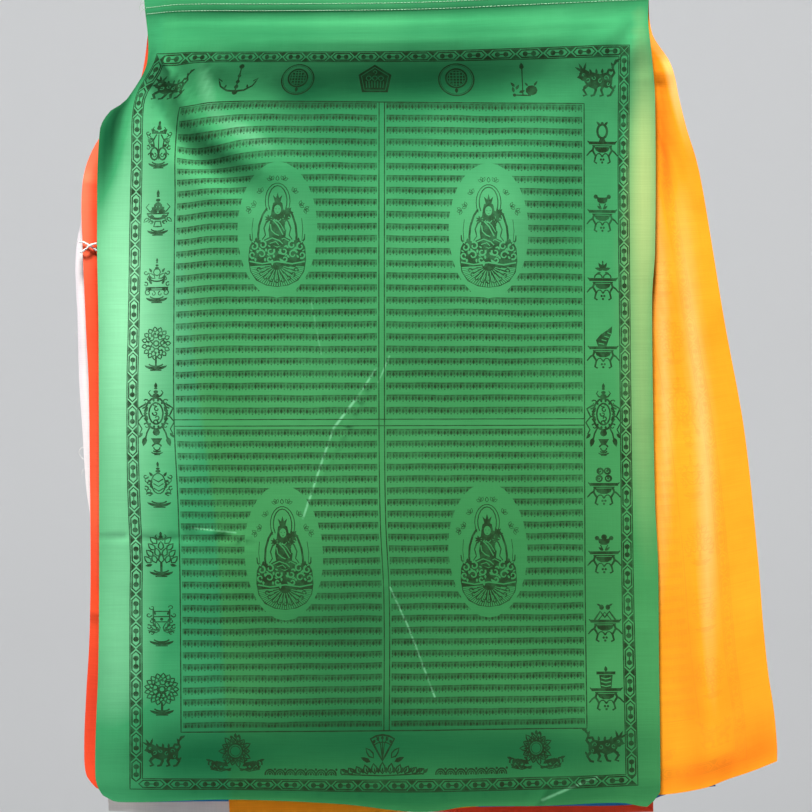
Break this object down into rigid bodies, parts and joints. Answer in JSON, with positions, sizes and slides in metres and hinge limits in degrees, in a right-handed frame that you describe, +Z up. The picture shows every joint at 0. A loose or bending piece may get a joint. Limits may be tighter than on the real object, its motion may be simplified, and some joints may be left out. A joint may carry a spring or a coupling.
{
  "type": "tibetan prayer flag string",
  "caption": "Folded string of large printed prayer flags in the traditional colours, hanging face on from its top edge, each flag sewn to one heading tape.",
  "frame": {"origin": "middle of the front flag's top edge, in the middle of its cloth", "axes": "+Z up, -Y out of the front of the stack, +X to the right as seen from the front"},
  "size_m": [0.7048, 0.056, 0.8371],
  "materials": {
    "green_cloth": "thin woven cloth, dyed green, printed in near-black ink",
    "yellow_cloth": "thin woven cloth, dyed orange-yellow, its back side to the front",
    "blue_cloth": "thin woven cloth, dyed blue",
    "red_cloth": "thin woven cloth, dyed red, its back side to the front",
    "white_cloth": "thin woven undyed cloth, print showing through on its back",
    "tape_weave": "pale woven cotton tape",
    "tie_thread": "white twisted thread"
  },
  "bodies": {
    "root": {"green_flag": "green_cloth", "yellow_flag": "yellow_cloth", "blue_flag": "blue_cloth", "red_flag": "red_cloth", "white_flag": "white_cloth", "heading_tape": "tape_weave", "white_tie": "tie_thread"}
  },
  "joints": []
}
